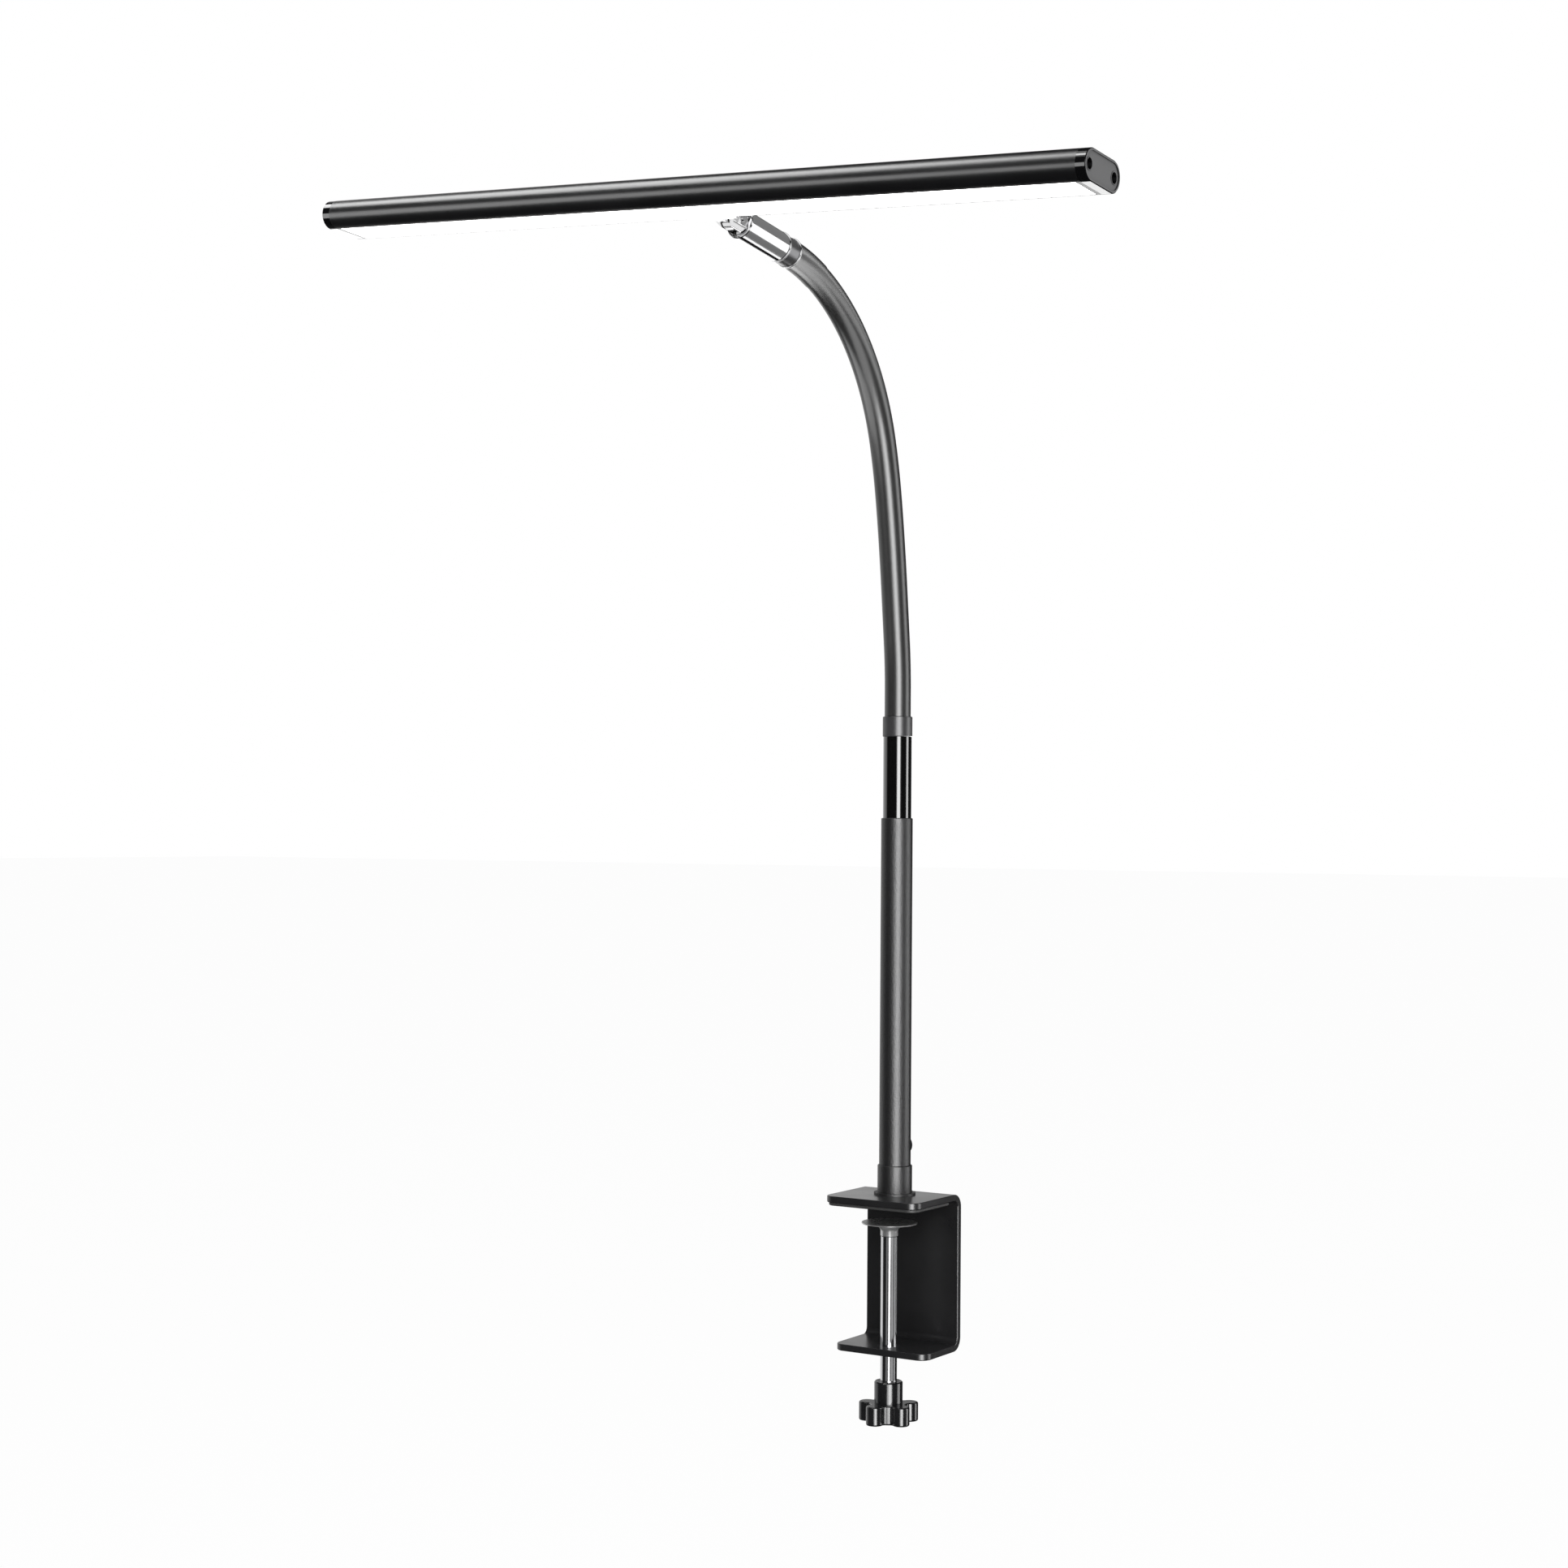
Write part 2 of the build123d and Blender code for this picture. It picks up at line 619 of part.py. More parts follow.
# ---------------------------------------------------------------- fork and pivot
# the side plane of the fork: X along the cylinder, Z along the pivot
fork_side = Plane(origin=pivot_plane.origin, x_dir=pivot_plane.z_dir, z_dir=pivot_plane.x_dir)
knuckle_length = pivot_distance + fork_recess
with BuildPart() as joint_fork:
    with BuildSketch(pivot_plane.offset(-knuckle_length)):
        Circle(knuckle_diameter / 2)
    extrude(amount=knuckle_length + knuckle_diameter / 2)
    with BuildSketch(fork_side):
        Circle(knuckle_diameter / 2)
        with Locations((-knuckle_length / 2, 0)):
            Rectangle(knuckle_length, knuckle_diameter)
    extrude(amount=fork_width / 2, both=True, mode=Mode.INTERSECT)
    slot_floor = -(tongue_radius + slot_relief)
    with BuildSketch(pivot_plane.offset(slot_floor)):
        Rectangle(fork_gap, 2 * knuckle_diameter)
    extrude(amount=2 * knuckle_diameter, mode=Mode.SUBTRACT)
    with BuildSketch(fork_side):
        Circle(pivot_diameter / 2)
    extrude(amount=fork_width, both=True, mode=Mode.SUBTRACT)
    with BuildSketch(pivot_plane.offset(-knuckle_length)):
        Circle(joint_bore / 2)
    extrude(amount=-fork_plug_length)
joint_fork.part.label = "joint_fork"
export_step(joint_fork.part, "parts/joint_fork.step")

with BuildPart() as pivot_screw:
    shaft_length = fork_width + pivot_nut_height + pivot_end
    with BuildSketch(fork_side.offset(-fork_width / 2)):
        Circle(pivot_diameter / 2)
    extrude(amount=shaft_length)
    with BuildSketch(fork_side.offset(-fork_width / 2)):
        Circle(pivot_head_diameter / 2)
    extrude(amount=-pivot_head_height)
    fillet(edges().filter_by(GeomType.CIRCLE).sort_by(Axis(fork_side.origin, fork_side.z_dir))[0], 0.5)
pivot_screw.part.label = "pivot_screw"
export_step(pivot_screw.part, "parts/pivot_screw.step")

with BuildPart() as pivot_nut:
    with BuildSketch(fork_side.offset(fork_width / 2)):
        RegularPolygon(pivot_nut_width / 2, 6, major_radius=False)
        Circle(pivot_diameter / 2, mode=Mode.SUBTRACT)
    extrude(amount=pivot_nut_height)
pivot_nut.part.label = "pivot_nut"
export_step(pivot_nut.part, "parts/pivot_nut.step")

with BuildPart() as pivot_washers:
    for inner_face in (-fork_gap / 2, fork_gap / 2 - washer_thickness):
        with BuildSketch(fork_side.offset(inner_face)):
            Circle(washer_diameter / 2)
            Circle(pivot_diameter / 2, mode=Mode.SUBTRACT)
        extrude(amount=washer_thickness)
pivot_washers.part.label = "pivot_washers"
export_step(pivot_washers.part, "parts/pivot_washers.step")

# ---------------------------------------------------------------- light bar: saddle and arm
back_centre = flat_width / 2
pivot_point = (bar_setback, -bar_rise)
screw_places = [(-saddle_screw_spacing / 2, 0), (saddle_screw_spacing / 2, 0)]
# a plane on the rearmost line of the bar, facing back: X along the bar
bar_back = Plane(
    origin=section_plane.from_local_coords(Vector(bar_depth / 2, 0, 0)),
    x_dir=section_plane.z_dir,
    z_dir=section_plane.x_dir,
)
saddle_back = bar_back.offset(saddle_depth)
screw_seat = saddle_back.offset(-saddle_screw_sink)
with BuildPart() as head_saddle:
    saddle_reach = bar_depth / 2 + saddle_depth - back_centre
    with BuildSketch(section_plane):
        with Locations((back_centre + saddle_reach / 2, 0)):
            Rectangle(saddle_reach, saddle_height)
    extrude(amount=saddle_length / 2, both=True)
    back_face = faces().sort_by(Axis(saddle_back.origin, saddle_back.z_dir))[-1]
    fillet(back_face.edges(), saddle_rounding)
    # the hollow front sits on the bar's round back
    with BuildSketch(section_plane):
        with Locations((back_centre, 0)):
            Circle(bar_height / 2)
    extrude(amount=saddle_length, both=True, mode=Mode.SUBTRACT)
    with BuildSketch(saddle_back):
        with Locations(*screw_places):
            Circle(saddle_screw_head_diameter / 2 + screw_head_play)
    extrude(amount=-saddle_screw_sink, mode=Mode.SUBTRACT)
    with BuildSketch(saddle_back):
        with Locations(*screw_places):
            Circle(saddle_screw_diameter / 2)
    extrude(amount=-2 * saddle_depth, mode=Mode.SUBTRACT)
    # the arm back to the pivot
    with BuildSketch(section_plane):
        arm_start = bar_depth / 2 + saddle_depth / 2
        with Locations(((arm_start + bar_setback) / 2, -bar_rise)):
            Rectangle(bar_setback - arm_start, arm_height)
        with Locations(pivot_point):
            Circle(tongue_radius)
            Circle(pivot_diameter / 2 + running_fit, mode=Mode.SUBTRACT)
    extrude(amount=tongue_thickness / 2, both=True)
head_saddle.part.label = "head_saddle"
export_step(head_saddle.part, "parts/head_saddle.step")

with BuildPart() as saddle_screws:
    with BuildSketch(screw_seat):
        with Locations(*screw_places):
            Circle(saddle_screw_diameter / 2)
    extrude(amount=-(saddle_depth - saddle_screw_sink + saddle_screw_grip))
    with BuildSketch(screw_seat):
        with Locations(*screw_places):
            Circle(saddle_screw_head_diameter / 2)
    extrude(amount=saddle_screw_head_height)
saddle_screws.part.label = "saddle_screws"
export_step(saddle_screws.part, "parts/saddle_screws.step")

# ---------------------------------------------------------------- light bar: housing
boss_places = [(-screw_spacing / 2, 0), (screw_spacing / 2, 0)]
inner_depth = bar_depth - 2 * bar_wall
inner_height = bar_height - 2 * bar_wall
with BuildPart() as head_housing:
    with BuildSketch(section_plane):
        SlotOverall(bar_depth, bar_height)
        SlotOverall(inner_depth, inner_height, mode=Mode.SUBTRACT)
        # a boss for the cap screws on a web to each round side
        with Locations(*boss_places):
            Circle(boss_diameter / 2)
        web_length = (inner_depth - screw_spacing) / 2 + bar_wall / 2
        for side in (-1, 1):
            with Locations((side * (screw_spacing / 2 + web_length / 2), 0)):
                Rectangle(web_length, boss_diameter)
        with Locations(*boss_places):
            Circle(cap_screw_diameter / 2, mode=Mode.SUBTRACT)
    extrude(amount=housing_length / 2, both=True)
    # the diffuser's window takes the whole flat of the underside
    with BuildSketch(section_plane):
        with Locations((0, -(bar_height - bar_wall) / 2)):
            Rectangle(flat_width, 1.2 * bar_wall)
    extrude(amount=housing_length / 2 - window_margin, both=True, mode=Mode.SUBTRACT)
    with BuildSketch(bar_back):
        with Locations(*screw_places):
            Circle(saddle_screw_diameter / 2)
    extrude(amount=-saddle_screw_grip, mode=Mode.SUBTRACT)
head_housing.part.label = "head_housing"
export_step(head_housing.part, "parts/head_housing.step")

window_length = housing_length - 2 * window_margin
with BuildPart() as diffuser:
    with BuildSketch(section_plane):
        with Locations((0, -(bar_height - diffuser_body) / 2)):
            Rectangle(flat_width - 2 * diffuser_play, diffuser_body)
        flange_middle = diffuser_body - (bar_height + diffuser_flange_thickness) / 2
        with Locations((0, flange_middle)):
            Rectangle(flat_width + 2 * diffuser_flange, diffuser_flange_thickness)
    extrude(amount=window_length / 2 - diffuser_play, both=True)
diffuser.part.label = "diffuser"
export_step(diffuser.part, "parts/diffuser.step")

# ---------------------------------------------------------------- light bar: end caps
for side, name in ((-1, "end_cap_left"), (1, "end_cap_right")):
    cap_plane = Plane(
        origin=section_plane.offset(side * housing_length / 2).origin,
        x_dir=section_plane.x_dir,
        z_dir=side * section_plane.z_dir,
    )
    with BuildPart() as end_cap:
        with BuildSketch(cap_plane):
            SlotOverall(bar_depth, bar_height)
        extrude(amount=cap_length)
        chamfer(faces().sort_by(Axis(cap_plane.origin, cap_plane.z_dir))[-1].edges(), edge_break)
        with BuildSketch(cap_plane.offset(cap_length)):
            SlotOverall(bar_depth - 2 * cap_rim, bar_height - 2 * cap_rim)
        extrude(amount=-cap_dish, mode=Mode.SUBTRACT)
        with BuildSketch(cap_plane.offset(cap_length - cap_dish)):
            with Locations(*boss_places):
                Circle(cap_screw_recess_diameter / 2)
        extrude(amount=-cap_screw_recess, mode=Mode.SUBTRACT)
        with BuildSketch(cap_plane):
            Rectangle(cap_tongue_width, cap_tongue_height)
        extrude(amount=-cap_tongue_length)
        with BuildSketch(cap_plane):
            with Locations(*boss_places):
                Circle(cap_screw_diameter / 2)
        extrude(amount=cap_length, mode=Mode.SUBTRACT)
    end_cap.part.label = name
    export_step(end_cap.part, f"parts/{name}.step")

with BuildPart() as cap_screws:
    for side in (-1, 1):
        head_seat = Plane(
            origin=section_plane.offset(
                side * (housing_length / 2 + cap_length - cap_dish - cap_screw_recess)
            ).origin,
            x_dir=section_plane.x_dir,
            z_dir=side * section_plane.z_dir,
        )
        with BuildSketch(head_seat):
            with Locations(*boss_places):
                Circle(cap_screw_head_diameter / 2)
        extrude(amount=cap_screw_head_height)
        with BuildSketch(head_seat):
            with Locations(*boss_places):
                Circle(cap_screw_diameter / 2)
        extrude(amount=-(cap_length - cap_dish - cap_screw_recess + cap_screw_grip))
cap_screws.part.label = "cap_screws"
export_step(cap_screws.part, "parts/cap_screws.step")

# ---------------------------------------------------------------- light bar: electronics
# the boards are glued to the inside of the flat top and face down
board_ceiling = inner_height / 2
inside_half = housing_length / 2 - board_end_gap
driver_middle = -inside_half + driver_board_length / 2
led_board_start = -inside_half + driver_board_length + board_gap
led_board_length = inside_half - led_board_start
led_board_middle = led_board_start + led_board_length / 2
led_columns = int(led_board_length / led_pitch)
led_row_spacing = board_width / led_rows


def board_plane(along):
    """A plane on the inside of the housing's flat top, facing down: X along the bar."""
    return Plane(
        origin=section_plane.offset(along).from_local_coords(Vector(0, board_ceiling, 0)),
        x_dir=section_plane.z_dir,
        z_dir=-section_plane.y_dir,
    )


with BuildPart() as led_board:
    with BuildSketch(board_plane(led_board_middle)):
        Rectangle(led_board_length, board_width)
    extrude(amount=board_thickness)
led_board.part.label = "led_board"
export_step(led_board.part, "parts/led_board.step")

with BuildPart() as led_chips:
    with BuildSketch(board_plane(led_board_middle).offset(board_thickness)):
        with GridLocations(led_pitch, led_row_spacing, led_columns, led_rows):
            Rectangle(led_length, led_width)
    extrude(amount=led_height)
led_chips.part.label = "led_chips"
export_step(led_chips.part, "parts/led_chips.step")

with BuildPart() as driver_board:
    with BuildSketch(board_plane(driver_middle)):
        Rectangle(driver_board_length, board_width)
    extrude(amount=board_thickness)
driver_board.part.label = "driver_board"
export_step(driver_board.part, "parts/driver_board.step")

with BuildPart() as driver_parts:
    parts_plane = board_plane(driver_middle).offset(board_thickness)
    with BuildSketch(parts_plane):
        with Locations((-9, 0)):
            Circle(3.5)
    extrude(amount=3.5)
    with BuildSketch(parts_plane):
        with Locations((0, 3)):
            Rectangle(5, 4)
    extrude(amount=1.6)
    with BuildSketch(parts_plane):
        with Locations((9, 0)):
            Rectangle(6, 6)
    extrude(amount=3.0)
driver_parts.part.label = "driver_parts"
export_step(driver_parts.part, "parts/driver_parts.step")

with BuildPart() as board_wires:
    for across in (-6, 6):
        wire_half = board_gap / 2 + 2
        wire_plane = board_plane(led_board_start - board_gap / 2).offset(board_thickness + wire_diameter / 2)
        with BuildSketch(
            Plane(
                origin=wire_plane.from_local_coords(Vector(-wire_half, across, 0)),
                x_dir=wire_plane.y_dir,
                z_dir=wire_plane.x_dir,
            )
        ):
            Circle(wire_diameter / 2)
        extrude(amount=2 * wire_half)
board_wires.part.label = "board_wires"
export_step(board_wires.part, "parts/board_wires.step")
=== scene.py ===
import bpy
import bmesh
import json
from math import radians, sin, cos, tan, pi
from mathutils import Matrix, Vector

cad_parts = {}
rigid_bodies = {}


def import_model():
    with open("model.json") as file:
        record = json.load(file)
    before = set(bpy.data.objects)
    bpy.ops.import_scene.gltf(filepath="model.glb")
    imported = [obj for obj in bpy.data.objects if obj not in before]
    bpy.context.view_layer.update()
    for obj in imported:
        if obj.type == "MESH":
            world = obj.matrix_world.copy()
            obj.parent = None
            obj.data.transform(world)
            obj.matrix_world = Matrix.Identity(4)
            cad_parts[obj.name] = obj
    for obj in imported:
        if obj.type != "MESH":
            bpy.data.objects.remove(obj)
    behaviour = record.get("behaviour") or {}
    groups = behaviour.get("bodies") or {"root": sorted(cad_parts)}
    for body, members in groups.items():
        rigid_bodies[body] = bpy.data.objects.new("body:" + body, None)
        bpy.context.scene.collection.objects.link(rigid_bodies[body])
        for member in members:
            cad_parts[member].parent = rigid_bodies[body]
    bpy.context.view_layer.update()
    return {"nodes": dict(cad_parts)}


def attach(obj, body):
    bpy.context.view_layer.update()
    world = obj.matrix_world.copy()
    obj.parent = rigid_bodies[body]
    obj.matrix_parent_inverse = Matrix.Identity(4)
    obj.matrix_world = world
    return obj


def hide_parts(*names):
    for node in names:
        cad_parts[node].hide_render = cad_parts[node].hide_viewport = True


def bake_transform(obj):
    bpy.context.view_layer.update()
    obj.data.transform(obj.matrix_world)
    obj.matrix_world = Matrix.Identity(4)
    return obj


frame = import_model()
nodes = frame["nodes"]

MM = 0.001

# ---------------------------------------------------------------- sizes, in millimetres, and places
neck_base = 292.7
neck_diameter = 15.8
link_length = 30.0
rest_bends = [6.0, 0.2, 1.5, 2.4, 6.0, 12.4, 13.4, 13.6, 13.3, 13.4]
end_sleeve_diameter = 16.4
end_sleeve_length = 14.0
ferrule_length = 12.9
ferrule_diameter = 16.4
joint_length = 38.7
pivot_distance = 8.0
rest_swivel = -4.25
rest_pitch = 5.0
bar_depth = 38.2
housing_length = 479.0
cap_length = 5.5
cap_dish = 0.7
screw_inset = 5.7
cap_recess_diameter = 5.6
disc_diameter = 33.5
disc_gap = 10.3
disc_height = 8.0
disc_rim = 0.8
disc_neck = 10.6
disc_bore = 6.1
disc_bore_depth = 5.5
disc_chamfer = 0.25
disc_edge = 0.2
flare_width = disc_diameter / 2 - disc_edge - disc_neck / 2
flare_depth = 4.2
rod_setback = -6.0
saddle_reach = 23.2
bar_setback = bar_depth / 2 + saddle_reach
bar_rise = 0.35
bead_size = 1.3
bead_inset = 0.9
bead_lift = 0.1
rim_size = 0.7
rim_margin = 0.25
rim_flatness = 0.8


def shifted(x, y, z):
    return Matrix.Translation((x, y, z))


def turned_by(angle, axis):
    return Matrix.Rotation(radians(angle), 4, axis)


# every bend's place: its Z runs along the link above it and its X is the hinge
link_places = [shifted(0, 0, neck_base)]
for bend in rest_bends:
    link_places.append(link_places[-1] @ shifted(0, 0, link_length) @ turned_by(bend, "X"))
ferrule_place = link_places[-1] @ shifted(0, 0, end_sleeve_length)
swivel_place = ferrule_place @ shifted(0, 0, ferrule_length) @ turned_by(rest_swivel, "Z")
rim_place = swivel_place @ shifted(0, 0, joint_length)
pivot_place = rim_place @ shifted(0, 0, pivot_distance)
# the head's place: X along the bar, Y to the rear, Z out of the bar's top
head_place = pivot_place @ turned_by(-90, "X") @ turned_by(rest_pitch, "X")
bar_place = head_place @ shifted(0, -bar_setback, bar_rise)


# ---------------------------------------------------------------- finishes
class Value:
    """A number or colour inside a finish. Plain arithmetic on it adds the Math nodes."""

    def __init__(self, finish, socket):
        self.finish = finish
        self.socket = socket

    def maths(self, operation, first, second):
        return self.finish.node("ShaderNodeMath", {"operation": operation}, {0: first, 1: second})

    def __add__(self, other):
        return self.maths("ADD", self, other)

    def __radd__(self, other):
        return self.maths("ADD", other, self)

    def __mul__(self, other):
        return self.maths("MULTIPLY", self, other)

    def __rmul__(self, other):
        return self.maths("MULTIPLY", other, self)


class Finish:
    """A procedural material that is built from nodes."""

    def __init__(self, name):
        self.material = bpy.data.materials.new(name)
        self.material.use_nodes = True
        self.tree = self.material.node_tree
        self.tree.nodes.clear()

    def node(self, kind, settings=None, inputs=None, output=0):
        made = self.tree.nodes.new(kind)
        for name, setting in (settings or {}).items():
            if name == "stops":
                ramp = made.color_ramp
                while len(ramp.elements) < len(setting):
                    ramp.elements.new(0.5)
                for stop, (position, shade) in zip(ramp.elements, setting):
                    stop.position = position
                    stop.color = (shade, shade, shade, 1)
            else:
                setattr(made, name, setting)
        for name, value in (inputs or {}).items():
            if isinstance(value, Value):
                self.tree.links.new(value.socket, made.inputs[name])
            else:
                made.inputs[name].default_value = value
        return Value(self, made.outputs[output]) if len(made.outputs) else made

    def place(self):
        return self.node("ShaderNodeTexCoord", output="Object")

    def grain(self, scale, detail=3.0, rough=0.55, stretch=None):
        """Even cloudy variation, 0 to 1; scale is in features per metre."""
        where = self.place()
        if stretch:
            where = self.node("ShaderNodeMapping", inputs={"Vector": where, "Scale": stretch})
        return self.node(
            "ShaderNodeTexNoise",
            inputs={"Vector": where, "Scale": scale, "Detail": detail, "Roughness": rough},
        )

    def ramp(self, value, stops):
        return self.node("ShaderNodeValToRGB", {"stops": stops}, {"Fac": value})

    def blend(self, amount, first, second):
        return self.node(
            "ShaderNodeMix",
            {"data_type": "RGBA", "clamp_factor": True},
            {0: amount, 6: (*first, 1), 7: (*second, 1)},
            output=2,
        )

    def bump(self, height, depth, strength=1.0):
        return self.node(
            "ShaderNodeBump", inputs={"Height": height, "Distance": depth, "Strength": strength}
        )

    def end_face(self):
        """1 where the surface faces along the light bar, 0 where it faces across it."""
        normal = self.node("ShaderNodeNewGeometry", output="Normal")
        along = self.node(
            "ShaderNodeVectorMath",
            {"operation": "DOT_PRODUCT"},
            {0: normal, 1: tuple(bar_place.to_3x3() @ Vector((1, 0, 0)))},
            output="Value",
        )
        facing = self.node("ShaderNodeMath", {"operation": "ABSOLUTE"}, {0: along})
        return self.ramp(facing, [(0.75, 0.0), (0.93, 1.0)])

    def surface(self, **sockets):
        """The shader and the material's output. Spaces in socket names are written as underscores."""
        inputs = {name.replace("_", " "): value for name, value in sockets.items()}
        shader = self.node("ShaderNodeBsdfPrincipled", inputs=inputs, output="BSDF")
        self.node("ShaderNodeOutputMaterial", inputs={"Surface": shader})
        return self.material


def grey(level):
    return (level, level, level, 1.0)


def make_powder_coat():
    """Fine textured black powder coat of the pole."""
    f = Finish("powder_coat_black")
    pebbles = f.node(
        "ShaderNodeTexVoronoi",
        {"feature": "SMOOTH_F1"},
        {"Vector": f.place(), "Scale": 900.0, "Smoothness": 0.6},
        output="Distance",
    )
    fine = f.grain(2600.0, 4.0, 0.65)
    cloud = f.grain(60.0, 2.0, 0.5)
    height = pebbles * 0.55 + fine * 0.45
    colour = f.blend(fine * 0.7 + cloud * 0.3, (0.004, 0.004, 0.0045), (0.016, 0.016, 0.017))
    return f.surface(
        Base_Color=colour,
        Roughness=0.33 + fine * 0.14,
        Normal=f.bump(height, 0.00016, 0.75),
    )


def make_clamp_paint():
    """Smooth semi-gloss black paint on the steel sheet, with a light orange peel."""
    f = Finish("clamp_paint_black")
    peel = f.grain(420.0, 2.0, 0.45)
    specks = f.grain(3200.0, 3.0, 0.6)
    haze = f.grain(38.0, 3.0, 0.55)
    colour = f.blend(haze, (0.009, 0.009, 0.010), (0.018, 0.018, 0.019))
    return f.surface(
        Base_Color=colour,
        Roughness=0.22 + haze * 0.1 + specks * 0.05,
        Normal=f.bump(peel * 0.8 + specks * 0.2, 0.00004, 0.5),
    )


def make_gloss_black(name, shade, roughness, waviness):
    """Polished black lacquer on metal, with faint waves and hairlines from the polishing."""
    f = Finish(name)
    waves = f.grain(90.0, 1.0, 0.4)
    hairlines = f.grain(500.0, 4.0, 0.7, stretch=(1.0, 1.0, 0.04))
    smudges = f.grain(45.0, 3.0, 0.6)
    colour = f.blend(smudges, (shade * 0.8,) * 3, (shade * 1.25,) * 3)
    return f.surface(
        Base_Color=colour,
        Roughness=roughness + smudges * 0.05 + hairlines * 0.03,
        Coat_Weight=1.0,
        Coat_Roughness=0.04,
        Normal=f.bump(waves, waviness, 0.5),
    )


def make_satin_black():
    """Satin black lacquer of the collar under the gooseneck."""
    f = Finish("satin_black")
    fine = f.grain(1800.0, 3.0, 0.6)
    haze = f.grain(50.0, 2.0, 0.5)
    return f.surface(
        Base_Color=f.blend(haze, (0.012, 0.012, 0.013), (0.024, 0.024, 0.026)),
        Roughness=0.3 + fine * 0.1,
        Normal=f.bump(fine, 0.00003, 0.4),
    )


def make_joint_polish():
    """Bright nickel polish of the swivel joint, its saddle and screws, and the ring beads."""
    f = Finish("bright_nickel")
    smudges = f.grain(60.0, 3.0, 0.6)
    hairlines = f.grain(700.0, 4.0, 0.7, stretch=(1.0, 0.05, 1.0))
    return f.surface(
        Base_Color=f.blend(smudges, (0.66, 0.66, 0.665), (0.74, 0.74, 0.745)),
        Metallic=1.0,
        Roughness=0.08 + smudges * 0.05 + hairlines * 0.04,
    )


def make_ferrule_satin():
    """Satin black-nickel of the ferrule, turned on a lathe, its tone lifted to a mid grey as painted
    glow from the lit diffuser washing over it.
    """
    f = Finish("black_nickel_glow_lightened")
    turning = f.grain(900.0, 3.0, 0.6, stretch=(0.1, 1.0, 1.0))
    smudges = f.grain(60.0, 3.0, 0.6)
    return f.surface(
        # partly painted light: black nickel, lightened to a mid grey that stands in for the diffuser's
        # glow
        Base_Color=f.blend(smudges, (0.20, 0.20, 0.205), (0.25, 0.25, 0.255)),
        Metallic=1.0,
        Roughness=0.27 + turning * 0.1,
    )


def make_bar_paint():
    """Smooth black coating of the light bar's extrusion, with the faint draw lines of the profile."""
    f = Finish("bar_coat_black")
    along = f.grain(900.0, 3.0, 0.6, stretch=(0.01, 1.0, 1.0))
    fine = f.grain(2400.0, 3.0, 0.6)
    haze = f.grain(26.0, 3.0, 0.5)
    return f.surface(
        Base_Color=f.blend(haze, (0.004, 0.004, 0.0045), (0.009, 0.009, 0.010)),
        Roughness=0.24 + haze * 0.06 + fine * 0.06,
        Normal=f.bump(along * 0.7 + fine * 0.3, 0.00002, 0.4),
    )


def make_cap_gloss():
    """Moulded black plastic of the end caps: mirror gloss round the side, satin on the end face, which
    is painted a lighter grey for the light it catches.
    """
    f = Finish("cap_plastic_black")
    flow = f.grain(70.0, 2.0, 0.5)
    fine = f.grain(2200.0, 3.0, 0.6)
    end_face = f.end_face()
    # painted light: the end face gets a lighter grey that stands in for the light falling on it, while
    # the sides stay black
    return f.surface(
        Base_Color=f.blend(end_face, (0.004, 0.004, 0.0045), (0.20, 0.20, 0.203)),
        Roughness=0.07 + flow * 0.03 + end_face * (0.26 + fine * 0.12),
        Normal=f.bump(flow * 0.5 + fine * 0.5 * end_face, 0.00003, 0.4),
    )


def make_knob_plastic():
    """Glossy black plastic of the star knob and of the socket."""
    f = Finish("knob_plastic_black")
    flow = f.grain(110.0, 2.0, 0.5)
    fine = f.grain(2600.0, 3.0, 0.6)
    return f.surface(
        Base_Color=f.blend(flow, (0.008, 0.008, 0.009), (0.016, 0.016, 0.017)),
        Roughness=0.13 + fine * 0.06,
        Normal=f.bump(flow, 0.0001, 0.35),
    )


def make_chrome():
    """Chrome of the clamp's rod."""
    f = Finish("chrome_plate")
    lathe = f.grain(1500.0, 3.0, 0.6, stretch=(0.05, 0.05, 1.0))
    smudges = f.grain(80.0, 3.0, 0.6)
    return f.surface(
        Base_Color=f.blend(smudges, (0.50, 0.50, 0.51), (0.60, 0.60, 0.61)),
        Metallic=1.0,
        Roughness=0.1 + lathe * 0.05 + smudges * 0.04,
        Normal=f.bump(lathe, 0.00001, 0.2),
    )


def make_disc_steel():
    """Bare turned steel of the clamp's disc, dulled by use."""
    f = Finish("bare_steel")
    turning = f.grain(1200.0, 3.0, 0.6, stretch=(0.05, 0.05, 1.0))
    stains = f.grain(90.0, 3.0, 0.6)
    return f.surface(
        Base_Color=f.blend(stains, (0.42, 0.42, 0.42), (0.52, 0.52, 0.52)),
        Metallic=0.65 + stains * 0.1,
        Roughness=0.24 + turning * 0.08,
    )


def make_zinc():
    """Dark zinc plate of the screws, nuts and hidden steel."""
    f = Finish("zinc_plate_dark")
    crystals = f.node(
        "ShaderNodeTexVoronoi", {}, {"Vector": f.place(), "Scale": 1500.0}, output="Distance"
    )
    haze = f.grain(300.0, 3.0, 0.6)
    return f.surface(
        Base_Color=f.blend(haze, (0.10, 0.10, 0.105), (0.20, 0.20, 0.205)),
        Metallic=1.0,
        Roughness=0.25 + crystals * 0.12 + haze * 0.1,
    )


def make_rubber(name, dark, light, roughness, scale):
    """Rubber or soft vinyl with a very fine skin."""
    f = Finish(name)
    skin = f.grain(scale, 4.0, 0.6)
    haze = f.grain(40.0, 2.0, 0.5)
    return f.surface(
        Base_Color=f.blend(haze, (dark,) * 3, (light,) * 3),
        Roughness=roughness + skin * 0.08,
        Normal=f.bump(skin, 0.00002, 0.5),
    )


